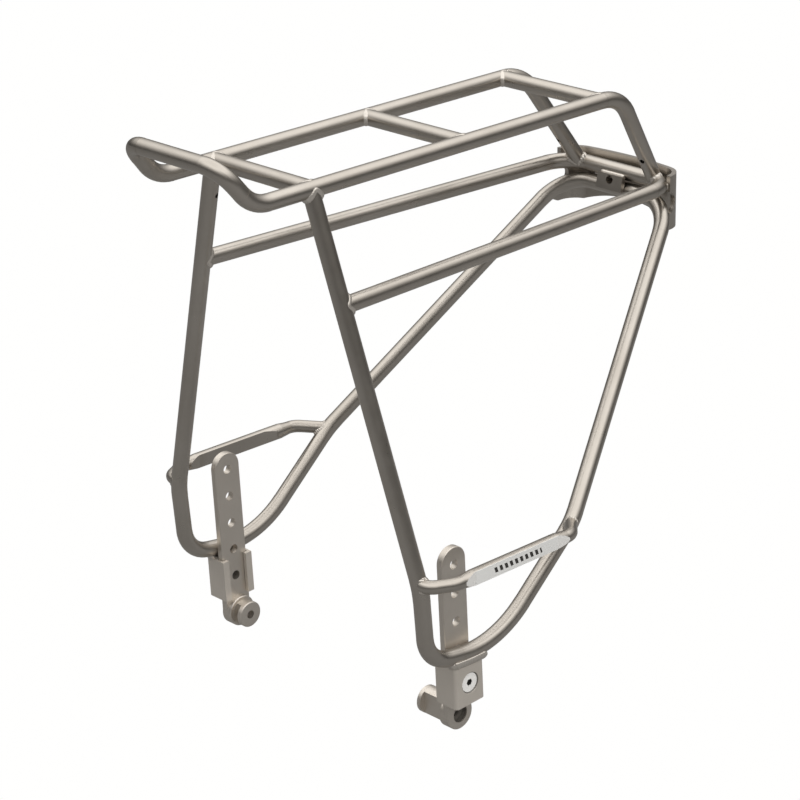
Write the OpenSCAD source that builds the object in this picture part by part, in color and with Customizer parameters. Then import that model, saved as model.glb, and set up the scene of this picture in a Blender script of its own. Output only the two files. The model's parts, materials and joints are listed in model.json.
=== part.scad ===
// Bicycle rear rack: a welded tube frame with two feet that slide for wheel size.
// Frame: +X forward, +Y to the bicycle's left, +Z up; origin midway between the foot bolts.

/* [Tubing] */
// Outside diameter of the round tubing that the whole frame is bent from
tube_d = 10; // [9:0.5:10]
// Wall thickness of the tubing
tube_wall = 1.5; // [1:0.25:2]
// Outside diameter of the thinner tubing of the braces
brace_d = 8; // [7.5:0.5:8.5]
// Wall thickness of the brace tubing
brace_wall = 1.25; // [1:0.25:1.5]

/* [Top deck] */
// Height of the deck tubes above the foot bolts
deck_z = 320.8; // [317:0.1:324]
// Distance from the centre plane to each long deck rail
deck_y = 41; // [39:0.5:43]
// Where the rails turn up to the lip
deck_front_x = 89.8; // [88.5:0.1:90.5]
// Where the rails turn down to the rear uprights
deck_rear_x = -205.7; // [-207:0.1:-204]
// Forward position of the raised lip
lip_x = 109.6; // [109.2:0.1:112]
// Distance from the centre plane to each corner of the lip
lip_y = 38.9; // [37:0.1:41]
// Height of the raised lip above the rails
lip_rise = 24.6; // [24:0.1:28]
// Bend radius at the corners of the lip
lip_bend_r = 13.7; // [12:0.1:15]
// Bend radius where the rails turn up to the lip
front_bend_r = 22.3; // [18:0.1:24]
// Bend radius where the rails turn down to the uprights
rear_bend_r = 30; // [24:0.5:32]
// Position of the front cross tube
front_cross_x = 47.6; // [45:0.1:50]
// Position of the middle cross tube
middle_cross_x = -71; // [-90:0.5:-60]
// Position of the rear cross tube
rear_cross_x = -187.9; // [-189:0.1:-180]

/* [Pannier rail] */
// Height of the pannier rail's rear end above the foot bolts
rail_z = 254.4; // [253.8:0.1:257]
// How much higher the rail's front ends are
rail_front_rise = 2.1; // [0:0.1:4]
// Distance from the centre plane to the rail's rear corner
rail_rear_y = 44.4; // [43.5:0.1:45]
// Position of the rail's rear crossbar
rail_rear_x = -251.7; // [-252.5:0.1:-251]
// Bend radius at the rail's rear corners
rail_bend_r = 20.6; // [19:0.1:22]
// Distance from the centre plane to the foot of each rear upright
upright_y = 32; // [30:0.5:34]

/* [Legs] */
// Distance from the centre plane to the lower half of each leg
leg_y = 107.2; // [107.2:0.1:108]
// Position of the leg's top under the deck rail
leg_top_x = 48.2; // [47:0.1:50]
// Position of the knee where the leg turns upright
knee_x = 35; // [34:0.1:36]
// Height of the knee
knee_z = 94.5; // [93:0.1:97]
// Bend radius of the knee
knee_bend_r = 50; // [40:1:60]
// Bend radius at the front of the leg's bottom
heel_bend_r = 20.5; // [18:0.1:23]
// Bend radius at the rear of the leg's bottom
sole_bend_r = 66; // [55:0.5:70]
// Position of the leg's rear knee
strut_x = -90.9; // [-92:0.1:-90]
// Height of the leg's rear knee
strut_z = 95.1; // [94:0.1:96.5]
// Position of the lower rear crossbar
leg_rear_x = -249.8; // [-250.5:0.1:-249.5]
// Distance from the centre plane to the lower crossbar's corner
leg_rear_y = 44.4; // [44:0.1:45]
// Height of the lower rear crossbar
leg_rear_z = 243.5; // [243:0.1:243.6]
// Bend radius at the lower crossbar's corners
leg_rear_bend_r = 30.7; // [26:0.1:33]

/* [Braces] */
// Distance from the centre plane to the straight part of each brace
brace_y = 121.9; // [121:0.1:123]
// Thickness of the part that is pressed flat
brace_flat_t = 4.6; // [4:0.1:5]
// Height of the part that is pressed flat
brace_flat_h = 9.8; // [9.4:0.1:10.4]
// Length of the label on the flat
label_l = 68; // [50:1:68]

/* [Feet] */
// Forward lean of the foot strips in degrees
foot_lean = 2; // [0:0.25:3]
// Distance from the centre plane to the outer face of a foot strip
strip_y = 102; // [101.8:0.1:102]
// Width of a foot strip
strip_w = 19.5; // [18.5:0.25:19.5]
// Thickness of a foot strip
strip_t = 4.5; // [4:0.1:4.5]
// Height of the strip's top above the foot bolt
strip_top = 109.5; // [108:0.5:112]
// Distance between the strip's holes
hole_pitch = 18.5; // [18:0.25:18.5]
// Height of the lowest strip hole
first_hole_z = 24.5; // [24:0.25:25]
// Diameter of the strip's holes
strip_hole_d = 6; // [5.5:0.1:6.4]
// Diameter of the eye at the foot of the strip
eye_d = 20; // [18:0.5:20]
// Bore through the eye for the bolt that fastens the foot
eye_bore_d = 6; // [5.9:0.1:6.4]
// Bore through the spacer for the same bolt
spacer_bore_d = 5.5; // [5.2:0.1:5.6]
// Recess for the head of that bolt
eye_recess_d = 11; // [10:0.5:12]
// Diameter of the spacer inside the foot
spacer_d = 17; // [15:0.5:18]
// Distance from the centre plane to the inner end of the left spacer
left_spacer_y = 73.5; // [72:0.5:86]
// Distance from the centre plane to the inner end of the right spacer
right_spacer_y = 86; // [72:0.5:88]

/* [Rear band] */
// Height of the band's lower edge above the foot bolts
band_z = 226.5; // [225.5:0.5:227.5]
// Height of the sheet
band_h = 35; // [34:0.5:35.5]
// Thickness of the sheet
band_t = 3; // [2:0.25:3]
// Diameter of the holes for a tail light
light_hole_d = 5.5; // [5:0.1:6]
// Distance between the holes for a tail light
light_pitch = 50; // [40:1:56]

/* [Part choice] */
// Which sub-part to build

/* [Hidden] */

$fn = 64;
METAL = [0.52, 0.49, 0.45];
SILVER = [0.85, 0.85, 0.84];
LABEL = [0.8, 0.8, 0.78];

// A coped tube end stands this far clear of the tube that it is welded to.
weld_gap = 0.05;
bore_d = tube_d - 2 * tube_wall;
cope_d = tube_d + 2 * weld_gap;
// A bend is this much thicker than the straights that run this far into it.
bend_swell = 0.14;
bend_overlap = 0.5;
vent_d = 3;
beyond = 1;

// Tube centrelines: the corners of each tube, and the bend radius at each.
rail_path = both_sides([
    leg_point(rail_z + rail_front_rise),
    [rail_rear_x, rail_rear_y, rail_z]
]);
rail_radii = [0, rail_bend_r, rail_bend_r, 0];

deck_path = both_sides([
    [upright_foot_x(), upright_y, rail_z],
    [deck_rear_x, deck_y, deck_z],
    [deck_front_x, deck_y, deck_z],
    [lip_x, lip_y, deck_z + lip_rise]
]);
deck_radii = [
    0, rear_bend_r, front_bend_r, lip_bend_r,
    lip_bend_r, front_bend_r, rear_bend_r, 0
];

heel_corner = [31.5, leg_y, 47];
sole_corner = [-24.8, leg_y, 38.1];
leg_path = [
    [leg_top_x, deck_y, deck_z],
    [knee_x, leg_y, knee_z],
    heel_corner,
    sole_corner,
    [strut_x, leg_y, strut_z],
    [leg_rear_x, leg_rear_y, leg_rear_z],
    [leg_rear_x, weld_gap / 2, leg_rear_z]
];
leg_radii = [
    0, knee_bend_r, heel_bend_r, sole_bend_r,
    knee_bend_r, leg_rear_bend_r, 0
];

// Brace: out from the leg, along the outside, and back in behind the strut.
brace_front_z = 98.8;
brace_rear_z = 97.4;
brace_front_x = knee_x - 14;
brace_rear_x = strut_x + 17;
brace_path = [
    leg_point(brace_front_z),
    [knee_x + 1, leg_y + 6.5, brace_front_z],
    [brace_front_x, brace_y, brace_front_z],
    [brace_rear_x, brace_y, brace_rear_z],
    arc_middle(leg_path, leg_radii, 4)
];
brace_radii = [0, 8, 14, 12, 0];
brace_slope = atan2(brace_front_z - brace_rear_z, brace_front_x - brace_rear_x);
flat_front_x = 17;
flat_rear_x = -69;
flat_front_inner_x = 15;
flat_rear_inner_x = -55;
flat_taper = 8;

foot_travel_holes = 4;
bracket_half_w = 11.7;
bracket_y = 111.5;
bracket_z = 10.5;
bracket_top_z = 38;
bracket_corner_r = 2.5;
slot_clearance = 0.3;
slot_floor_gap = 0.2;
lip_t = 2.5;
lip_gap_half_w = 7;
sink_d = 13.5;
screw_d = 6;
screw_hole_d = 6.4;
screw_head_d = 12;
socket_af = 4;
eye_inner_y = 94;
spigot_d = 12;
spigot_l = 2;

plate_w = 21;
plate_t = 3;
plate_drop = -1;

// ---- geometry helpers ----

function unit(v) = v / norm(v);

function flip(p) = [p.x, -p.y, p.z];

function both_sides(half) =
    concat(half, [for (i = [len(half) - 1 : -1 : 0]) flip(half[i])]);

// Point on the upper half of the left leg's centreline at height z
function leg_point(z) =
    let (top = [leg_top_x, deck_y, deck_z], knee = [knee_x, leg_y, knee_z])
    top + (knee - top) * (deck_z - z) / (deck_z - knee_z);

function turn_at(path, i) =
    acos(unit(path[i] - path[i - 1]) * unit(path[i + 1] - path[i]));

// Distance from a corner to where its bend starts
function setback(path, radii, i) =
    (i == 0 || i == len(path) - 1) ? 0 : radii[i] * tan(turn_at(path, i) / 2);

// The upright stands on the rail's rear bend, so its foot follows the bend.
function upright_foot_x() =
    let (bend_y = rail_rear_y - setback(rail_path, rail_radii, 1))
    rail_rear_x + rail_bend_r - sqrt(pow(rail_bend_r, 2) - pow(upright_y - bend_y, 2));

// Middle of the arc that rounds off a corner
function arc_middle(path, radii, i) =
    path[i] + unit(unit(path[i + 1] - path[i]) - unit(path[i] - path[i - 1]))
        * radii[i] * (1 / cos(turn_at(path, i) / 2) - 1);

// Where the straight before corner i ends and the straight after it begins
function arc_start(path, radii, i) =
    path[i] - unit(path[i] - path[i - 1]) * setback(path, radii, i);

function arc_end(path, radii, i) =
    path[i] + unit(path[i + 1] - path[i]) * setback(path, radii, i);

module straight(from, to, d) {
    span = to - from;
    translate(from)
        rotate([0, acos(span.z / norm(span)), atan2(span.y, span.x)])
            cylinder(d = d, h = norm(span));
}

// The straight before corner i, running a little way into the bends at its ends
module leg_of_path(path, radii, i, d, end_run) {
    last = len(path) - 1;
    ahead = unit(path[i] - path[i - 1]);
    from = i == 1 ? path[0] : arc_end(path, radii, i - 1);
    to = i == last ? path[last] : arc_start(path, radii, i);
    straight(
        from - ahead * (i == 1 ? end_run : bend_overlap),
        to + ahead * (i == last ? end_run : bend_overlap),
        d
    );
}

module bend(path, radii, i, d) {
    ahead = unit(path[i] - path[i - 1]);
    side = unit(cross(ahead, unit(path[i + 1] - path[i])));
    inward = cross(side, ahead);
    centre = arc_start(path, radii, i) + inward * radii[i];
    multmatrix([
        [-inward.x, ahead.x, side.x, centre.x],
        [-inward.y, ahead.y, side.y, centre.y],
        [-inward.z, ahead.z, side.z, centre.z],
        [0, 0, 0, 1]
    ])
        rotate_extrude(angle = turn_at(path, i))
            translate([radii[i], 0])
                circle(d = d);
}

// Round bar along a path; the bends differ in size by swell so that every step is clean
module rod(path, radii, d, swell = bend_swell, end_run = 0) {
    last = len(path) - 1;
    for (i = [1 : last])
        leg_of_path(path, radii, i, d, end_run);
    for (i = [1 : last - 1])
        bend(path, radii, i, d + swell);
}

module tube(path, radii) {
    difference() {
        rod(path, radii, tube_d);
        rod(path, radii, bore_d, -bend_swell, beyond);
    }
}

module vent(at, towards) {
    straight(at, at + unit(towards) * tube_d, vent_d);
}

module right_side() {
    mirror([0, 1, 0])
        children();
}

// Points the child's +Z along +Y, starting at the given Y
module outward(y) {
    translate([0, y, 0])
        rotate([-90, 0, 0])
            children();
}

module chamfered_disc(d, h, c) {
    cylinder(d1 = d - 2 * c, d2 = d, h = c);
    translate([0, 0, c])
        cylinder(d = d, h = h - 2 * c);
    translate([0, 0, h - c])
        cylinder(d1 = d, d2 = d - 2 * c, h = c);
}

// ---- cutters for coped ends ----

module rail_cutter() {
    rod(rail_path, rail_radii, cope_d);
}

module leg_cutter() {
    rod(leg_path, leg_radii, cope_d);
}

module deck_rail_cutter() {
    straight([deck_rear_x, deck_y, deck_z], [deck_front_x, deck_y, deck_z], cope_d);
}

module deck_cutter() {
    rod(deck_path, deck_radii, cope_d);
}

module cross_cutter(x, d) {
    straight([x, -deck_y, deck_z], [x, deck_y, deck_z], d);
}

// ---- top deck ----

module deck_loop() {
    vent_at = deck_path[0] + (deck_path[1] - deck_path[0]) * 0.26;
    color(METAL)
        difference() {
            tube(deck_path, deck_radii);
            rail_cutter();
            vent(vent_at, [1, 0.25, 0]);
            right_side()
                vent(vent_at, [1, 0.25, 0]);
        }
}

module cross_tube(x) {
    color(METAL)
        difference() {
            cross_cutter(x, tube_d);
            straight([x, -deck_y - beyond, deck_z], [x, deck_y + beyond, deck_z], bore_d);
            deck_cutter();
        }
}

module front_cross_tube() {
    cross_tube(front_cross_x);
}

module middle_cross_tube() {
    cross_tube(middle_cross_x);
}

module rear_cross_tube() {
    cross_tube(rear_cross_x);
}

// ---- pannier rail ----

module pannier_rail_loop() {
    color(METAL)
        difference() {
            tube(rail_path, rail_radii);
            leg_cutter();
            right_side()
                leg_cutter();
        }
}

// ---- legs ----

module leg_tube_left() {
    color(METAL)
        difference() {
            tube(leg_path, leg_radii);
            deck_rail_cutter();
            cross_cutter(front_cross_x, cope_d);
            vent(leg_point(deck_z - 22), [-0.3, -1, 0]);
        }
}

module leg_tube_right() {
    right_side()
        leg_tube_left();
}

// ---- braces ----

// The long middle of a brace before it is pressed: round ends, wider middle
module bulged_bar(inset) {
    from = arc_end(brace_path, brace_radii, 2);
    to = arc_start(brace_path, brace_radii, 3);
    round_r = brace_d / 2 - inset;
    wide_r = brace_flat_h / 2 - inset;
    wide_from = from.x - flat_front_x + flat_taper;
    wide_to = from.x - flat_rear_x - flat_taper;
    translate(from)
        rotate([0, -90 - brace_slope, 0])
            rotate_extrude()
                polygon([
                    [0, -bend_overlap],
                    [round_r, -bend_overlap],
                    [round_r, wide_from - flat_taper],
                    [wide_r, wide_from],
                    [wide_r, wide_to],
                    [round_r, wide_to + flat_taper],
                    [round_r, norm(to - from) + bend_overlap],
                    [0, norm(to - from) + bend_overlap]
                ]);
}

module brace_bar(inset, swell, end_run) {
    d = brace_d - 2 * inset;
    difference() {
        union() {
            for (i = [1, 2, 4])
                leg_of_path(brace_path, brace_radii, i, d, end_run);
            for (i = [1, 2, 3])
                bend(brace_path, brace_radii, i, d + swell);
            bulged_bar(inset);
        }
        press_die(inset, 1, flat_front_x, flat_rear_x);
        press_die(inset, -1, flat_front_inner_x, flat_rear_inner_x);
    }
}

// What the press leaves out on one face of the bar, sloping out at both ends
module press_die(inset, face, front_x, rear_x) {
    half_t = brace_flat_t / 2 - inset;
    half_r = brace_d / 2 - inset;
    clear = 0.3;
    run = flat_taper * (half_r + clear - half_t) / (half_r - half_t);
    deep = brace_flat_h;
    translate([0, brace_y, brace_rear_z - deep])
        linear_extrude(height = 3 * deep)
            polygon([
                [front_x - flat_taper + run, face * deep],
                [front_x - flat_taper + run, face * (half_r + clear)],
                [front_x - flat_taper, face * half_t],
                [rear_x + flat_taper, face * half_t],
                [rear_x + flat_taper - run, face * (half_r + clear)],
                [rear_x + flat_taper - run, face * deep]
            ]);
}

module brace_left() {
    color(METAL)
        difference() {
            brace_bar(0, bend_swell, 0);
            brace_bar(brace_wall, -bend_swell, beyond);
            leg_cutter();
        }
}

module brace_right() {
    right_side()
        brace_left();
}

module brace_label_left() {
    label_t = 0.2;
    label_h = 8.6;
    label_front_x = 8;
    centre_z = brace_front_z - (brace_front_x - label_front_x) * tan(brace_slope);
    color(LABEL)
        translate([label_front_x, brace_y + brace_flat_t / 2 + weld_gap, centre_z])
            rotate([0, -brace_slope, 0])
                translate([-label_l, 0, -label_h / 2])
                    cube([label_l, label_t, label_h]);
}

module brace_label_right() {
    right_side()
        brace_label_left();
}

// ---- rear band and light plate ----

band_front_x = -238.5;
band_back_x = -264.5;
band_half_w = 48;
band_corner_r = 16;
band_bow_r = 226;
band_arch = 6.5;
band_arch_half_w = 36;
bow_centre_x = band_back_x + band_bow_r;
band_corner_y = band_half_w - band_corner_r;
band_corner_x = bow_centre_x
    - sqrt(pow(band_bow_r - band_corner_r, 2) - pow(band_corner_y, 2));

// Plan of the band: bowed back, rounded corners, straight sides
module band_plan(inset, front_x) {
    tangent_y = band_corner_y * band_bow_r / (band_bow_r - band_corner_r);
    half_w = band_half_w - inset;
    translate([band_corner_x, -half_w])
        square([front_x - band_corner_x, 2 * half_w]);
    for (side = [-1, 1])
        translate([band_corner_x, side * band_corner_y])
            circle(r = band_corner_r - inset);
    intersection() {
        translate([bow_centre_x, 0])
            circle(r = band_bow_r - inset, $fn = 360);
        translate([band_back_x, -tangent_y])
            square([-band_back_x + front_x, 2 * tangent_y]);
    }
}

// Shapes the front edge of a side wall: upper lobe set back, notch, rounded foot
module band_side_cut() {
    wall_y = band_half_w - 2 * band_t;
    notch_r = 7;
    notch_x = -245;
    notch_z = 244;
    foot_r = 6;
    translate([notch_x - 1, wall_y, notch_z])
        cube([20, 4 * band_t, band_h]);
    translate([notch_x, 0, notch_z])
        outward(wall_y)
            cylinder(r = notch_r, h = 4 * band_t);
    translate([notch_x, wall_y, notch_z - notch_r])
        cube([20, 4 * band_t, 2 * notch_r]);
    difference() {
        translate([band_front_x - foot_r, wall_y, band_z - beyond])
            cube([20, 4 * band_t, foot_r + beyond]);
        translate([band_front_x - foot_r, 0, band_z + foot_r])
            outward(wall_y - beyond)
                cylinder(r = foot_r, h = 6 * band_t);
    }
}

// Raises the middle of the band's lower edge into a shallow arch
module band_arch_cut() {
    arch_r = (pow(band_arch_half_w, 2) + pow(band_arch, 2)) / (2 * band_arch);
    translate([band_back_x - beyond, 0, band_z + band_arch - arch_r])
        rotate([0, 90, 0])
            cylinder(r = arch_r, h = 4 * band_t, $fn = 180);
}

module light_holes() {
    for (side = [-1, 1])
        translate([band_back_x - beyond, side * light_pitch / 2, band_z + band_h / 2])
            rotate([0, 90, 0])
                cylinder(d = light_hole_d, h = 4 * band_t);
}

module rear_band() {
    color(METAL)
        difference() {
            translate([0, 0, band_z])
                linear_extrude(height = band_h)
                    difference() {
                        band_plan(0, band_front_x);
                        band_plan(band_t, band_front_x + band_corner_r);
                    }
            band_side_cut();
            right_side()
                band_side_cut();
            rail_cutter();
            leg_cutter();
            right_side()
                leg_cutter();
            band_arch_cut();
            light_holes();
        }
}

// Small plate across the front of both rear crossbars
module light_plate() {
    upper = [rail_rear_x, 0, rail_z];
    lower = [leg_rear_x, 0, leg_rear_z];
    lean = atan2(lower.x - upper.x, upper.z - lower.z);
    reach = tube_d / 2 + weld_gap;
    color(METAL)
        translate((upper + lower) / 2)
            rotate([0, -lean, 0])
                translate([reach, 0, 0])
                    difference() {
                        translate([0, -plate_w / 2, plate_drop - norm(upper - lower) / 2])
                            cube([plate_t, plate_w, norm(upper - lower) - 1]);
                        translate([-beyond, 0, 0])
                            rotate([0, 90, 0])
                                cylinder(d = light_hole_d, h = plate_t + 2 * beyond);
                    }
}

// ---- feet ----

// Leans a foot forward about the foot bolts
module lean() {
    rotate([0, foot_lean, 0])
        children();
}

// Lipped channel that guides the strip, seen from above
module bracket_plan() {
    slot_y = strip_y - strip_t - slot_clearance;
    inner_y = slot_y - lip_t;
    slot_half_w = strip_w / 2 + slot_clearance;
    difference() {
        union() {
            translate([-bracket_half_w, inner_y])
                square([2 * bracket_half_w, bracket_y - bracket_corner_r - inner_y]);
            translate([-bracket_half_w + bracket_corner_r, inner_y])
                square([2 * (bracket_half_w - bracket_corner_r), bracket_y - inner_y]);
            for (side = [-1, 1])
                translate([
                    side * (bracket_half_w - bracket_corner_r),
                    bracket_y - bracket_corner_r
                ])
                    circle(r = bracket_corner_r);
        }
        translate([-slot_half_w, slot_y])
            square([2 * slot_half_w, strip_y + slot_floor_gap - slot_y]);
        translate([-lip_gap_half_w, inner_y - beyond])
            square([2 * lip_gap_half_w, slot_y - inner_y + 2 * beyond]);
    }
}

module screw_seat_cutter() {
    sink_depth = (sink_d - screw_hole_d) / 2;
    translate([0, 0, first_hole_z]) {
        outward(strip_y - beyond)
            cylinder(d = screw_hole_d, h = bracket_y - strip_y + 2 * beyond);
        outward(bracket_y - sink_depth)
            cylinder(d1 = screw_hole_d, d2 = sink_d, h = sink_depth);
        outward(bracket_y)
            cylinder(d = sink_d, h = beyond);
    }
}

module foot_bracket_left() {
    color(METAL)
        difference() {
            lean()
                difference() {
                    translate([0, 0, bracket_z])
                        linear_extrude(height = bracket_top_z - bracket_z)
                            bracket_plan();
                    screw_seat_cutter();
                }
            leg_cutter();
        }
}

module foot_bracket_right() {
    right_side()
        foot_bracket_left();
}

module clamp_screw_left() {
    head_y = bracket_y - (sink_d - screw_head_d) / 2 + weld_gap;
    head_h = (screw_head_d - screw_d) / 2;
    shank_y = strip_y + slot_floor_gap;
    socket_depth = 2.4;
    color(SILVER)
        lean()
            translate([0, 0, first_hole_z])
                difference() {
                    union() {
                        outward(shank_y)
                            cylinder(d = screw_d, h = head_y - head_h - shank_y);
                        outward(head_y - head_h)
                            cylinder(d1 = screw_d, d2 = screw_head_d, h = head_h);
                    }
                    outward(head_y - socket_depth)
                        cylinder(d = socket_af / cos(30), h = socket_depth + beyond, $fn = 6);
                }
}

module clamp_screw_right() {
    right_side()
        clamp_screw_left();
}

// Strip with chamfered edges, a rounded top and an eye at its foot
module foot_strip_left() {
    chamfer = 0.5;
    inner_y = strip_y - strip_t;
    recess_l = 4;
    half_w = strip_w / 2;
    top_centre_z = strip_top - half_w;
    color(METAL)
        lean()
            difference() {
                union() {
                    translate([0, inner_y, 0])
                        linear_extrude(height = top_centre_z)
                            polygon([
                                [-half_w, chamfer],
                                [-half_w + chamfer, 0],
                                [half_w - chamfer, 0],
                                [half_w, chamfer],
                                [half_w, strip_t - chamfer],
                                [half_w - chamfer, strip_t],
                                [-half_w + chamfer, strip_t],
                                [-half_w, strip_t - chamfer]
                            ]);
                    translate([0, 0, top_centre_z])
                        outward(inner_y)
                            chamfered_disc(strip_w, strip_t, chamfer);
                    outward(eye_inner_y)
                        chamfered_disc(eye_d, strip_y - eye_inner_y, chamfer);
                }
                for (k = [0 : foot_travel_holes])
                    translate([0, 0, first_hole_z + k * hole_pitch])
                        outward(inner_y - beyond)
                            cylinder(d = strip_hole_d, h = strip_t + 2 * beyond);
                outward(eye_inner_y - beyond)
                    cylinder(d = eye_bore_d, h = eye_d);
                outward(strip_y - recess_l)
                    cylinder(d = eye_recess_d, h = recess_l + beyond);
                outward(eye_inner_y - beyond)
                    cylinder(d = spigot_d, h = spigot_l + beyond);
            }
}

module foot_strip_right() {
    right_side()
        foot_strip_left();
}

// Turned spacer with a flange, a flat behind it and a spigot in the eye
module foot_spacer(inner_y) {
    chamfer = 0.5;
    spacer_l = eye_inner_y - inner_y;
    flange_t = 3;
    waist_y = inner_y + flange_t;
    waist_x = spacer_d / 2 - 4;
    color(METAL)
        lean()
            difference() {
                union() {
                    outward(inner_y)
                        chamfered_disc(spacer_d, spacer_l - weld_gap, chamfer);
                    outward(inner_y + chamfer)
                        cylinder(
                            d = spigot_d - 2 * weld_gap,
                            h = spacer_l + spigot_l - 2 * chamfer
                        );
                }
                outward(inner_y - beyond)
                    cylinder(d = spacer_bore_d, h = spacer_l + spigot_l + 2 * beyond);
                translate([0, 0, -spacer_d])
                    linear_extrude(height = 2 * spacer_d)
                        polygon([
                            [waist_x, waist_y],
                            [waist_x, eye_inner_y - beyond],
                            [spacer_d, eye_inner_y - beyond],
                            [spacer_d, waist_y]
                        ]);
            }
}

module foot_spacer_left() {
    foot_spacer(left_spacer_y);
}

module foot_spacer_right() {
    right_side()
        foot_spacer(right_spacer_y);
}

deck_loop();
front_cross_tube();
middle_cross_tube();
rear_cross_tube();
pannier_rail_loop();
leg_tube_left();
leg_tube_right();
brace_left();
brace_right();
brace_label_left();
brace_label_right();
light_plate();
rear_band();
foot_bracket_left();
foot_bracket_right();
clamp_screw_left();
clamp_screw_right();
foot_strip_left();
foot_strip_right();
foot_spacer_left();
foot_spacer_right();
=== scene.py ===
"""Looks of the bicycle rear rack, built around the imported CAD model.

Metres, in the same frame as the CAD.
"""

import json
import math

import bmesh
import bpy
import numpy as np
from mathutils import Matrix, Vector
from mathutils.bvhtree import BVHTree


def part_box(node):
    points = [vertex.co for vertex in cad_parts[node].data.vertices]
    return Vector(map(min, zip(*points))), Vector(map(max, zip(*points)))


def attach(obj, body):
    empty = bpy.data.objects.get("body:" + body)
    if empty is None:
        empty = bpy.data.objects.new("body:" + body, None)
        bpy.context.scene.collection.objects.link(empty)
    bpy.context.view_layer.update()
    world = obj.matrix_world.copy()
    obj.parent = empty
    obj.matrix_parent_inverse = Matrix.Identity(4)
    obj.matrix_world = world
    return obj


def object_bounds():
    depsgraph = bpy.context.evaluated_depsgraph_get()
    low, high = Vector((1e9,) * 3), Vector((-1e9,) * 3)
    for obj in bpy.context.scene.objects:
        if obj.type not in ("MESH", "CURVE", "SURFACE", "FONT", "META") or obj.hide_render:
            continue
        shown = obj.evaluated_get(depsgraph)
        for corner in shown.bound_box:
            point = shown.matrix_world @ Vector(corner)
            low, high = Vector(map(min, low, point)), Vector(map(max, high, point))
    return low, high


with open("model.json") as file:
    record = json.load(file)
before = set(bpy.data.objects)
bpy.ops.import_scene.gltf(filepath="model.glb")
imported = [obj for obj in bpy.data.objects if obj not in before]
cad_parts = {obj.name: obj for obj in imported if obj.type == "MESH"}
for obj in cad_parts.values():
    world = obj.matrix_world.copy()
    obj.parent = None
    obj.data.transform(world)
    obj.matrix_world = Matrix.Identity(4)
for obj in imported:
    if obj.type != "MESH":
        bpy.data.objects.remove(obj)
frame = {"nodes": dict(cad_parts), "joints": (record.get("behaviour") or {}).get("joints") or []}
NODES = frame["nodes"]
CAD_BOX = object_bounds()
MM = 0.001

# ---------------------------------------------------------------- node helpers


def new_material(name):
    material = bpy.data.materials.new(name)
    material.use_nodes = True
    return material, material.node_tree.nodes, material.node_tree.links


def add_node(nodes, kind, **values):
    node = nodes.new(kind)
    for key, value in values.items():
        if key in node.inputs:
            node.inputs[key].default_value = value
        else:
            setattr(node, key, value)
    return node


def noise(nodes, links, source, scale, detail=3.0, roughness=0.5):
    node = add_node(nodes, "ShaderNodeTexNoise")
    node.inputs["Scale"].default_value = scale
    node.inputs["Detail"].default_value = detail
    node.inputs["Roughness"].default_value = roughness
    links.new(source, node.inputs["Vector"])
    return node


def ramp(nodes, links, source, stops):
    node = add_node(nodes, "ShaderNodeValToRGB")
    elements = node.color_ramp.elements
    while len(elements) < len(stops):
        elements.new(0.5)
    for element, (position, colour) in zip(elements, stops):
        element.position = position
        element.color = (*colour, 1.0)
    links.new(source, node.inputs["Fac"])
    return node


def grey(value):
    return (value, value, value)


def maths(nodes, links, operation, *terms):
    """Value of a Math node; each term is a number or another node's socket."""
    node = add_node(nodes, "ShaderNodeMath", operation=operation)
    for socket, value in zip(node.inputs, terms):
        if isinstance(value, (int, float)):
            socket.default_value = value
        else:
            links.new(value, socket)
    return node.outputs["Value"]


def separate(nodes, links, vector):
    node = add_node(nodes, "ShaderNodeSeparateXYZ")
    links.new(vector, node.inputs["Vector"])
    return node.outputs


def reach_along_y(nodes, links, place):
    """Distance from the centre plane, the same on both sides."""
    return maths(nodes, links, "ABSOLUTE", place["Y"])


# How metallic a patch is, whatever surrounds it.
PATCH_METALLIC = 0.3
# Sockets of a Mix node that is set to colours.
MIX_A, MIX_B, MIX_RESULT = 6, 7, 2
GRAIN_STRENGTH = 0.14
GRAIN_DEPTH = 0.02 * MM


def blasted_metal(name, dark, light, rough, metallic=1.0, grain=1400.0, patch=None):
    """Satin bead-blasted metal.

    patch, if any, makes nodes for a mask and gives it with the colour that it shows.
    """
    material, nodes, links = new_material(name)
    shader = nodes["Principled BSDF"]
    shader.inputs["Metallic"].default_value = metallic
    coordinates = add_node(nodes, "ShaderNodeTexCoord")
    place = coordinates.outputs["Object"]
    cloud = noise(nodes, links, place, 22.0, 4.0, 0.6)
    tint = ramp(nodes, links, cloud.outputs["Fac"], [(0.3, dark), (0.7, light)]).outputs["Color"]
    if patch:
        mask, colour = patch(nodes, links, coordinates)
        mix = add_node(nodes, "ShaderNodeMix", data_type="RGBA")
        links.new(mask, mix.inputs["Factor"])
        links.new(tint, mix.inputs[MIX_A])
        mix.inputs[MIX_B].default_value = (*colour, 1.0)
        tint = mix.outputs[MIX_RESULT]
        change = PATCH_METALLIC - metallic
        bare = maths(nodes, links, "MULTIPLY_ADD", mask, change, metallic)
        links.new(bare, shader.inputs["Metallic"])
    links.new(tint, shader.inputs["Base Color"])
    patches = noise(nodes, links, place, 90.0, 5.0, 0.65)
    wear = ramp(
        nodes, links, patches.outputs["Fac"], [(0.32, grey(rough[0])), (0.72, grey(rough[1]))]
    )
    links.new(wear.outputs["Color"], shader.inputs["Roughness"])
    grains = noise(nodes, links, place, grain, 2.0, 0.6)
    bump = add_node(nodes, "ShaderNodeBump")
    bump.inputs["Strength"].default_value = GRAIN_STRENGTH
    bump.inputs["Distance"].default_value = GRAIN_DEPTH
    links.new(grains.outputs["Fac"], bump.inputs["Height"])
    links.new(bump.outputs["Normal"], shader.inputs["Normal"])
    return material


def dress(material, *names):
    for name in names:
        node = NODES[name]
        node.data.materials.clear()
        node.data.materials.append(material)


# ---------------------------------------------------------------- materials

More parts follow.
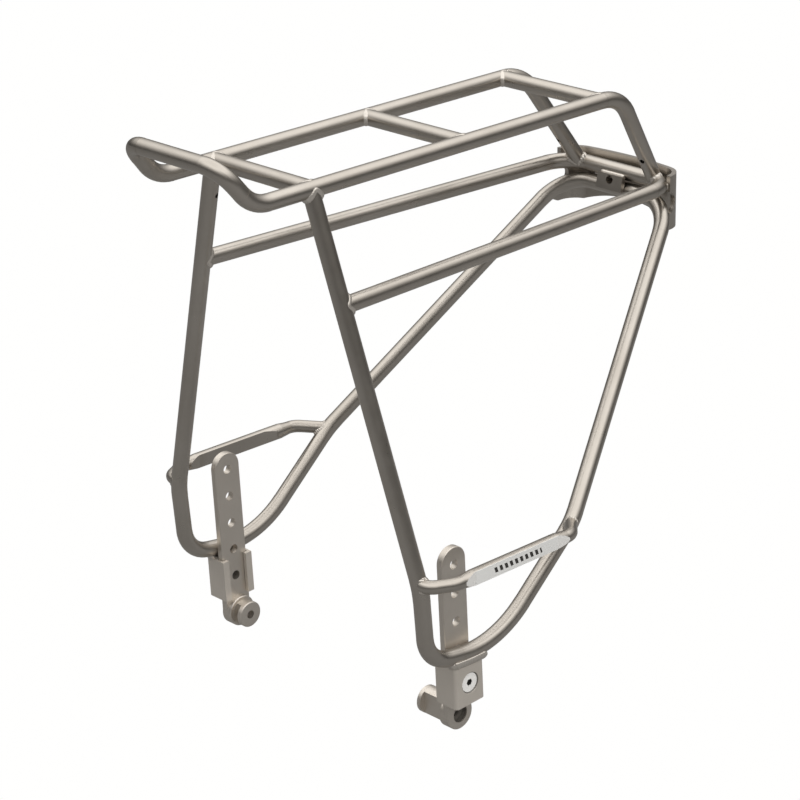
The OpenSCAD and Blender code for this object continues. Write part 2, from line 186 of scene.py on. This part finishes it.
FRAME_NODES = [
    "deck_loop", "front_cross_tube", "middle_cross_tube", "rear_cross_tube",
    "pannier_rail_loop", "leg_tube_left", "leg_tube_right", "light_plate", "rear_band",
]
SPACER_NODES = ["foot_spacer_left", "foot_spacer_right"]

TUBE_DARK = (0.49, 0.455, 0.41)
TUBE_LIGHT = (0.56, 0.525, 0.48)
TUBE_ROUGH = (0.27, 0.35)
FOOT_DARK = (0.66, 0.615, 0.555)
FOOT_LIGHT = (0.74, 0.69, 0.63)
FOOT_ROUGH = (0.36, 0.46)
STRIP_METALLIC = 0.92
BRACKET_METALLIC = 0.65
# Bare silver of the pressed flats, made pale and little metallic as a painted sheen.
BARE_SILVER_AND_SHEEN = (0.86, 0.855, 0.84)
# Colours of painted shade: the screw socket, the recess round the foot bolt and the countersunk
# hole for the clamp screw.
SOCKET_SHADE = (0.05, 0.048, 0.045)
BOLT_RECESS_SHADE = (0.15, 0.14, 0.125)
COUNTERSINK_SHADE = (0.16, 0.15, 0.135)
BAR_INK = (0.035, 0.033, 0.03)
STICKER_SILVER = (0.80, 0.805, 0.795)


def outer_face(name):
    """Distance from the centre plane to a node's outermost point."""
    low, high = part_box(name)
    return max(abs(low.y), abs(high.y))


def pressed_face(label):
    """Bare silver on the outer flat of a brace, from tip to tip around its label, made pale and
    little metallic as a painted sheen.
    """
    low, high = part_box(label)
    tip = 9.0 * MM
    face = min(abs(low.y), abs(high.y)) - 0.3 * MM
    squarely_outward = 0.955

    def patch(nodes, links, coordinates):
        place = separate(nodes, links, coordinates.outputs["Object"])
        facing = separate(nodes, links, coordinates.outputs["Normal"])
        outward = maths(nodes, links, "ABSOLUTE", facing["Y"])
        reach = reach_along_y(nodes, links, place)
        tests = [
            maths(nodes, links, "GREATER_THAN", outward, squarely_outward),
            maths(nodes, links, "GREATER_THAN", reach, face),
            maths(nodes, links, "GREATER_THAN", place["X"], low.x - tip),
            maths(nodes, links, "LESS_THAN", place["X"], high.x + tip),
        ]
        mask = tests[0]
        for test in tests[1:]:
            mask = maths(nodes, links, "MULTIPLY", mask, test)
        return mask, BARE_SILVER_AND_SHEEN

    return patch


def socket_shadow(screw):
    """Dark below the face of a screw's head: its socket, and what the bracket hides."""
    depth = outer_face(screw) - 0.35 * MM

    def patch(nodes, links, coordinates):
        place = separate(nodes, links, coordinates.outputs["Object"])
        reach = reach_along_y(nodes, links, place)
        return maths(nodes, links, "LESS_THAN", reach, depth), SOCKET_SHADE

    return patch


def round_shadow(centre_x, centre_z, radius, depth, colour):
    """Painted shade inside a recess round an axis along Y, deeper than a given reach."""

    def patch(nodes, links, coordinates):
        place = separate(nodes, links, coordinates.outputs["Object"])
        reach = reach_along_y(nodes, links, place)
        x = maths(nodes, links, "SUBTRACT", place["X"], centre_x)
        z = maths(nodes, links, "SUBTRACT", place["Z"], centre_z)
        square = maths(nodes, links, "MULTIPLY", x, x)
        away = maths(nodes, links, "SQRT", maths(nodes, links, "MULTIPLY_ADD", z, z, square))
        near = maths(nodes, links, "LESS_THAN", away, radius)
        deep = maths(nodes, links, "LESS_THAN", reach, depth)
        return maths(nodes, links, "MULTIPLY", near, deep), colour

    return patch


def painted_bolt_shade(strip):
    """Painted shade in the recess round the foot bolt, whose axis is the frame's own origin."""
    return round_shadow(0.0, 0.0, 5.7 * MM, outer_face(strip) - 0.8 * MM, BOLT_RECESS_SHADE)


def painted_countersink_shade(bracket, screw):
    # Painted shade in the bracket's countersunk hole, round the clamp screw's axis.
    low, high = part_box(screw)
    x, z = (low.x + high.x) / 2, (low.z + high.z) / 2
    return round_shadow(x, z, 6.9 * MM, outer_face(bracket) - 0.08 * MM, COUNTERSINK_SHADE)


def sticker_material(name, node):
    """Silver sticker with a row of plain slanted bars."""
    label_height = 8.6 * MM
    bar_pitch = 4.2 * MM
    bar_share = 0.55
    bar_half_height = 1.7 * MM
    bar_slant = 0.35
    first_bar, last_bar = 0.2, 0.8
    low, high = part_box(node)
    length = high.x - low.x
    material, nodes, links = new_material(name)
    shader = nodes["Principled BSDF"]
    shader.inputs["Metallic"].default_value = 0.2
    place = add_node(nodes, "ShaderNodeTexCoord").outputs["Object"]
    split = separate(nodes, links, place)

    def sums(operation, *terms):
        return maths(nodes, links, operation, *terms)

    slope = (high.z - low.z - label_height) / length
    middle = (low.z + high.z) / 2 - slope * (low.x + high.x) / 2
    rise = sums("MULTIPLY_ADD", split["X"], -slope, split["Z"])
    up = sums("SUBTRACT", rise, middle)
    along = sums("SUBTRACT", split["X"], low.x)
    slanted = sums("MULTIPLY_ADD", up, -bar_slant, along)
    bars = sums("LESS_THAN", sums("FRACT", sums("DIVIDE", slanted, bar_pitch)), bar_share)
    tall = sums("LESS_THAN", sums("ABSOLUTE", up), bar_half_height)
    start = sums("GREATER_THAN", slanted, length * first_bar)
    stop = sums("LESS_THAN", slanted, length * last_bar)
    mask = sums("MULTIPLY", sums("MULTIPLY", bars, tall), sums("MULTIPLY", start, stop))
    shade = ramp(nodes, links, mask, [(0.0, STICKER_SILVER), (1.0, BAR_INK)])
    links.new(shade.outputs["Color"], shader.inputs["Base Color"])
    patches = noise(nodes, links, place, 400.0, 3.0, 0.6)
    wear = ramp(nodes, links, patches.outputs["Fac"], [(0.3, grey(0.36)), (0.7, grey(0.46))])
    links.new(wear.outputs["Color"], shader.inputs["Roughness"])
    return material


def dress_side(side):
    """Materials of the pieces that have a patch of their own, on one side."""
    label, brace = f"brace_label_{side}", f"brace_{side}"
    strip, bracket = f"foot_strip_{side}", f"foot_bracket_{side}"
    screw = f"clamp_screw_{side}"
    brace_metal = blasted_metal(
        f"brace_metal_{side}", TUBE_DARK, TUBE_LIGHT, TUBE_ROUGH, patch=pressed_face(label)
    )
    dress(brace_metal, brace)
    # Each strip and bracket gets a patch of painted shade in its recess.
    for node, metallic, recess in (
        (strip, STRIP_METALLIC, painted_bolt_shade(strip)),
        (bracket, BRACKET_METALLIC, painted_countersink_shade(bracket, screw)),
    ):
        metal = blasted_metal(
            f"metal_{node}", FOOT_DARK, FOOT_LIGHT, FOOT_ROUGH, metallic, patch=recess
        )
        dress(metal, node)
    steel = blasted_metal(
        f"turned_steel_{side}", (0.93, 0.925, 0.91), (0.98, 0.975, 0.96), (0.32, 0.44),
        metallic=0.2, grain=3200.0, patch=socket_shadow(screw),
    )
    dress(steel, screw)
    dress(sticker_material(f"sticker_{side}", label), label)


tube_metal = blasted_metal("tube_metal", TUBE_DARK, TUBE_LIGHT, TUBE_ROUGH)
foot_metal = blasted_metal("foot_metal", FOOT_DARK, FOOT_LIGHT, FOOT_ROUGH, STRIP_METALLIC)
weld_metal = blasted_metal(
    "weld_metal", (0.58, 0.545, 0.50), (0.68, 0.64, 0.59), (0.28, 0.38), 0.8, grain=2600.0
)
dress(tube_metal, *FRAME_NODES)
dress(foot_metal, *SPACER_NODES)
for side in ("left", "right"):
    dress_side(side)

# ---------------------------------------------------------------- reading the frame


class Surface:
    """A CAD node's surface, for finding where it meets another."""

    def __init__(self, name):
        mesh = NODES[name].data
        self.points = np.array([v.co for v in mesh.vertices], float)
        self.tree = BVHTree.FromPolygons(
            [v.co for v in mesh.vertices], [tuple(p.vertices) for p in mesh.polygons]
        )

    def nearest(self, point):
        place, normal, _, distance = self.tree.find_nearest(Vector(point))
        return np.array(place), np.array(normal), distance


SURFACES = {name: Surface(name) for name in NODES}


def unit(v):
    v = np.array(v, float)
    return v / np.linalg.norm(v)


def touching(name, other, keep, reach=0.16 * MM):
    """Vertices of one node that lie against another node, at most once each."""
    points = SURFACES[name].points
    points = points[[bool(keep(p)) for p in points]]
    surface = SURFACES[other]
    points = np.array([p for p in points if surface.nearest(p)[2] < reach]).reshape(-1, 3)
    return np.unique(np.round(points, 7), axis=0)


def resample(points, count, closed):
    points = np.array(points, float)
    if closed:
        points = np.vstack([points, points[:1]])
    steps = np.linalg.norm(np.diff(points, axis=0), axis=1)
    travelled = np.concatenate([[0.0], np.cumsum(steps)])
    stations = np.linspace(0.0, travelled[-1], count, endpoint=not closed)
    return np.stack([np.interp(stations, travelled, points[:, k]) for k in range(3)], axis=1)


# ---------------------------------------------------------------- weld beads


BEAD_SIDES = 12
BEAD_FLATNESS = 0.5
BEAD_LEAN = 0.3
RIPPLE_DEPTH = 0.08


def bead(name, centres, radii, tilt, closed, body="frame"):
    """A weld bead: rippled flattened tube along centres, each ripple leaning along the run."""
    ring = BEAD_SIDES
    count = len(centres)
    mesh = bmesh.new()
    rows = []
    for i in range(count):
        before = centres[(i - 1) % count] if closed or i else centres[i]
        after = centres[(i + 1) % count] if closed or i < count - 1 else centres[i]
        ahead = unit(after - before)
        out = tilt[i] - ahead * np.dot(tilt[i], ahead)
        out = unit(out)
        side = np.cross(ahead, out)
        row = []
        for k in range(ring):
            angle = 2 * math.pi * k / ring
            lean = BEAD_LEAN * radii[i] * math.cos(angle)
            flat = BEAD_FLATNESS * math.cos(angle) * out + math.sin(angle) * side
            point = centres[i] + radii[i] * flat
            row.append(mesh.verts.new(point - ahead * lean))
        rows.append(row)
    pairs = count if closed else count - 1
    for i in range(pairs):
        a, b = rows[i], rows[(i + 1) % count]
        for k in range(ring):
            mesh.faces.new((a[k], a[(k + 1) % ring], b[(k + 1) % ring], b[k]))
    if not closed:
        mesh.faces.new(list(reversed(rows[0])))
        mesh.faces.new(rows[-1])
    bmesh.ops.recalc_face_normals(mesh, faces=mesh.faces)
    data = bpy.data.meshes.new(name)
    mesh.to_mesh(data)
    mesh.free()
    for polygon in data.polygons:
        polygon.use_smooth = True
    piece = bpy.data.objects.new(name, data)
    bpy.context.scene.collection.objects.link(piece)
    data.materials.append(weld_metal)
    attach(piece, body)
    return piece


def ripple(count, pitch_count, radius, depth):
    """Bead radius along the run, in overlapping scales."""
    phase = (np.arange(count) * pitch_count / count) % 1.0
    scale = np.sqrt(np.clip(1.0 - (phase - 0.15) ** 2 * 1.1, 0.0, 1.0))
    return radius * (1.0 - depth + depth * (scale - scale.min()) / (scale.max() - scale.min()))


def ring_weld(name, tube, other, axis, keep, radius=1.7 * MM):
    """Fillet bead round a coped tube end."""
    axis = unit(axis)
    points = touching(tube, other, keep)
    if len(points) < 8:
        raise RuntimeError(f"{name}: only {len(points)} points where {tube} meets {other}")
    centre = (points.min(0) + points.max(0)) / 2
    side = unit(np.cross(axis, [0.3, 0.5, 0.8]))
    up = np.cross(axis, side)
    for _ in range(3):
        flat = points - centre
        flat = flat - np.outer(flat @ axis, axis)
        reach = np.linalg.norm(flat, axis=1)
        rim = reach > 0.86 * reach.max()
        a, b = (points @ side)[rim], (points @ up)[rim]
        solution = np.linalg.lstsq(
            np.stack([2 * a, 2 * b, np.ones(len(a))], axis=1), a**2 + b**2, rcond=None
        )[0]
        centre = side * solution[0] + up * solution[1] + axis * (centre @ axis)
    points = points[rim]
    angles = np.arctan2((points - centre) @ up, (points - centre) @ side)
    order = np.argsort(angles)
    points, angles = points[order], angles[order]
    keep_rows = np.concatenate([[True], np.diff(angles) > 0.02])
    points = points[keep_rows]
    count = 140
    run = resample(points, count, closed=True)
    surface = SURFACES[other]
    centres, tilts, sizes = [], [], []
    for p in run:
        radial = p - centre
        radial = unit(radial - axis * (radial @ axis))
        foot, normal, _ = surface.nearest(p)
        if (p - foot) @ normal < 0 and np.linalg.norm(p - foot) > 0.3 * MM:
            normal = -normal
        lean = unit(radial + normal * 0.9)
        flush = max(0.0, float(radial @ normal))
        size = radius * (1.0 - 0.5 * flush)
        centres.append(p + lean * size * (0.1 - 0.3 * flush))
        tilts.append(lean)
        sizes.append(size)
    scales = max(10, int(round(np.linalg.norm(np.diff(run, axis=0), axis=1).sum() / (1.6 * MM))))
    radii = ripple(count, scales, np.array(sizes), RIPPLE_DEPTH)
    return bead(name, np.array(centres), radii, tilts, True)


def seam_weld(name, line, lean, radius=1.8 * MM):
    """Bead along an open seam, thinner at its two ends."""
    line = np.array(line, float)
    length = np.linalg.norm(np.diff(line, axis=0), axis=1).sum()
    count = max(24, int(length / (0.3 * MM)))
    run = resample(line, count, closed=False)
    radii = ripple(count, max(4, int(round(length / (1.9 * MM)))), radius, RIPPLE_DEPTH)
    taper = np.clip(np.minimum(np.arange(count), np.arange(count)[::-1]) / 6.0, 0.0, 1.0)
    radii = radii * (0.5 + 0.5 * np.sqrt(taper))
    return bead(name, run, radii, [unit(lean)] * count, False)


def seam_line(node, other, keep, order_by, bins):
    """Middle line of the places where one node is cut to fit against another."""
    points = touching(node, other, keep, 0.2 * MM)
    if len(points) < 4:
        raise RuntimeError(f"only {len(points)} points where {node} meets {other}")
    along = points @ unit(order_by)
    edges = np.linspace(along.min(), along.max() + 1e-9, bins + 1)
    rows = [points[(along >= a) & (along < b)] for a, b in zip(edges, edges[1:])]
    return [row.mean(axis=0) for row in rows if len(row)]


for tube in ("front_cross_tube", "middle_cross_tube", "rear_cross_tube"):
    for side, sign in (("left", 1), ("right", -1)):
        ring_weld(
            f"weld_{tube}_{side}", tube, "deck_loop", (0, 1, 0),
            lambda p, s=sign: p[1] * s > 0, 2.2 * MM,
        )
for side, sign in (("left", 1), ("right", -1)):
    leg = f"leg_tube_{side}"
    brace = f"brace_{side}"
    ring_weld(
        f"weld_leg_top_{side}", leg, "deck_loop", (-0.06, sign * 0.284, -0.957),
        lambda p: p[2] > 0.3, 3.0 * MM,
    )
    ring_weld(
        f"weld_rail_front_{side}", "pannier_rail_loop", leg, (-1.0, -sign * 0.053, 0.0),
        lambda p, s=sign: p[1] * s > 0 and p[0] > 0, 2.6 * MM,
    )
    ring_weld(
        f"weld_upright_{side}", "deck_loop", "pannier_rail_loop", (-0.55, -sign * 0.112, -0.827),
        lambda p, s=sign: p[1] * s > 0 and p[0] < -0.2, 2.6 * MM,
    )
    ring_weld(
        f"weld_brace_front_{side}", brace, leg, (-0.63, sign * 0.776, 0),
        lambda p: p[0] > -0.02, 1.9 * MM,
    )
    ring_weld(
        f"weld_brace_rear_{side}", brace, leg, (0.74, sign * 0.66, 0.1),
        lambda p: p[0] < -0.02, 1.9 * MM,
    )


def bracket_weld(side, sign):
    """Broad bead under the leg, along the bracket's outer face and round its front."""
    low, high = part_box(f"foot_bracket_{side}")
    face_y = (high.y if sign > 0 else low.y) - sign * 0.5 * MM
    front_x = high.x - 0.5 * MM
    tree = SURFACES[f"leg_tube_{side}"].tree
    plan = [(x, face_y) for x in np.linspace(low.x - 1.5 * MM, front_x - 1.5 * MM, 15)]
    plan += [(front_x, face_y - sign * y * MM) for y in (1.5, 3.0, 4.5, 6.0)]
    line = []
    for x, y in plan:
        hit = tree.ray_cast(Vector((x, y, low.z)), Vector((0, 0, 1)))[0]
        gap = max(0.0, hit.z - high.z)
        line.append((x, y, hit.z - 0.6 * MM - gap / 2))
    seam_weld(f"weld_bracket_{side}", line, (0.6, sign, -0.4), 3.1 * MM)


def plate_welds():
    """Beads along the light plate's top and bottom edges."""
    low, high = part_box("light_plate")
    for name, bar, z in (("top", "pannier_rail_loop", high.z), ("bottom", "leg_tube_left", low.z)):
        up = 1 if name == "top" else -1
        touch, _, _ = SURFACES[bar].nearest((high.x if up > 0 else low.x, 0.001, z))
        line = [(touch[0] + 0.5 * MM, y, z) for y in np.linspace(low.y + MM, high.y - MM, 9)]
        seam_weld(f"weld_plate_{name}", line, (0.5, 0, up), 1.3 * MM)


for side, sign in (("left", 1), ("right", -1)):
    bracket_weld(side, sign)
    for name, tube in (("rail", "pannier_rail_loop"), ("strut", f"leg_tube_{side}")):
        line = seam_line(
            "rear_band", tube,
            lambda p, s=sign: p[1] * s > 0.036, (0.4, 0, 1), 6,
        )
        seam_weld(f"weld_band_{name}_{side}", line, (0, sign, 0), 2.2 * MM)
plate_welds()

# ---------------------------------------------------------------- studio


def studio():
    low, high = CAD_BOX
    travel = max(j["range_m"][1] for j in frame["joints"])
    floor_z = low.z - travel - 3 * MM
    mesh = bmesh.new()
    size = 14.0
    steps = 8
    marks = [size * (i / steps - 0.5) for i in range(steps + 1)]
    grid = [[mesh.verts.new((x, y, floor_z)) for y in marks] for x in marks]
    for i in range(steps):
        for k in range(steps):
            mesh.faces.new((grid[i][k], grid[i + 1][k], grid[i + 1][k + 1], grid[i][k + 1]))
    data = bpy.data.meshes.new("floor")
    mesh.to_mesh(data)
    mesh.free()
    floor = bpy.data.objects.new("floor", data)
    bpy.context.scene.collection.objects.link(floor)
    material, nodes, links = new_material("pale_floor")
    shader = nodes["Principled BSDF"]
    shader.inputs["Roughness"].default_value = 0.9
    shader.inputs["Specular IOR Level"].default_value = 0.1
    place = add_node(nodes, "ShaderNodeTexCoord").outputs["Object"]
    cloud = noise(nodes, links, place, 3.0, 2.0, 0.5)
    tint = ramp(nodes, links, cloud.outputs["Fac"], [(0.3, grey(0.16)), (0.7, grey(0.17))])
    links.new(tint.outputs["Color"], shader.inputs["Base Color"])
    pale = add_node(nodes, "ShaderNodeEmission")
    pale.inputs["Color"].default_value = (1.0, 0.998, 0.992, 1.0)
    pale.inputs["Strength"].default_value = 1.0
    path = add_node(nodes, "ShaderNodeLightPath")
    mix = add_node(nodes, "ShaderNodeMixShader")
    links.new(path.outputs["Is Camera Ray"], mix.inputs["Fac"])
    links.new(shader.outputs["BSDF"], mix.inputs[1])
    links.new(pale.outputs["Emission"], mix.inputs[2])
    links.new(mix.outputs["Shader"], nodes["Material Output"].inputs["Surface"])
    data.materials.append(material)

    sky = bpy.data.worlds.new("studio")
    bpy.context.scene.world = sky
    sky.use_nodes = True
    nodes, links = sky.node_tree.nodes, sky.node_tree.links
    lit = nodes["Background"]
    lit.inputs["Strength"].default_value = 1.62
    split = add_node(nodes, "ShaderNodeSeparateXYZ")
    links.new(add_node(nodes, "ShaderNodeTexCoord").outputs["Generated"], split.inputs["Vector"])
    height = add_node(nodes, "ShaderNodeMapRange")
    height.inputs["From Min"].default_value = -1.0
    links.new(split.outputs["Z"], height.inputs["Value"])
    glow = ramp(
        nodes, links, height.outputs["Result"],
        [
            (0.0, (0.14, 0.136, 0.13)), (0.5, (0.035, 0.034, 0.032)), (0.60, (0.085, 0.082, 0.078)),
            (0.68, (0.25, 0.243, 0.233)), (0.77, (0.52, 0.51, 0.495)), (0.86, (1.0, 0.985, 0.96)),
            (1.0, (0.84, 0.825, 0.805)),
        ],
    )
    links.new(glow.outputs["Color"], lit.inputs["Color"])
    white = add_node(nodes, "ShaderNodeBackground")
    white.inputs["Color"].default_value = (1.0, 0.998, 0.992, 1.0)
    path = add_node(nodes, "ShaderNodeLightPath")
    mix = add_node(nodes, "ShaderNodeMixShader")
    links.new(path.outputs["Is Camera Ray"], mix.inputs["Fac"])
    links.new(lit.outputs["Background"], mix.inputs[1])
    links.new(white.outputs["Background"], mix.inputs[2])
    links.new(mix.outputs["Shader"], nodes["World Output"].inputs["Surface"])

    def area(name, place, target, width, height, power, colour=(1.0, 0.985, 0.96)):
        lamp = bpy.data.lights.new(name, "AREA")
        lamp.shape = "RECTANGLE"
        lamp.size = width
        lamp.size_y = height
        lamp.energy = power
        lamp.color = colour
        light = bpy.data.objects.new(name, lamp)
        bpy.context.scene.collection.objects.link(light)
        light.location = place
        light.visible_glossy = False
        light.rotation_euler = (Vector(target) - Vector(place)).to_track_quat("-Z", "Y").to_euler()
        return light

    centre = (low + high) / 2
    area("top_softbox", (-0.5, 0.1, 1.7), centre, 1.3, 1.3, 16.0)
    area("label_softbox", (0.5, 1.5, 0.9), centre, 0.7, 0.7, 12.0)


def camera():
    picture = 800.0
    film = 36.0
    focal, shift_x, shift_y = 2606.21, -10.772, 12.335
    distance = 1.440446
    aim = Vector((0.030866, 0.098018, 0.2))
    azimuth, elevation, roll = (math.radians(v) for v in (136.265, 22.357, -1.336))
    back = Vector((
        math.sin(azimuth) * math.cos(elevation),
        -math.cos(azimuth) * math.cos(elevation),
        math.sin(elevation),
    ))
    level = Vector((math.cos(azimuth), math.sin(azimuth), 0.0))
    above = back.cross(level)
    right = math.cos(roll) * level + math.sin(roll) * above
    up = -math.sin(roll) * level + math.cos(roll) * above
    data = bpy.data.cameras.new("camera")
    data.sensor_width = film
    data.lens = focal / picture * film
    data.shift_x = shift_x / picture
    data.shift_y = shift_y / picture
    eye = bpy.data.objects.new("camera", data)
    place = aim + back * distance
    turn = Matrix((right, up, back)).transposed().to_4x4()
    eye.matrix_world = Matrix.Translation(place) @ turn
    bpy.context.scene.collection.objects.link(eye)
    bpy.context.scene.camera = eye


studio()
camera()

bpy.context.scene.view_settings.view_transform = "Standard"
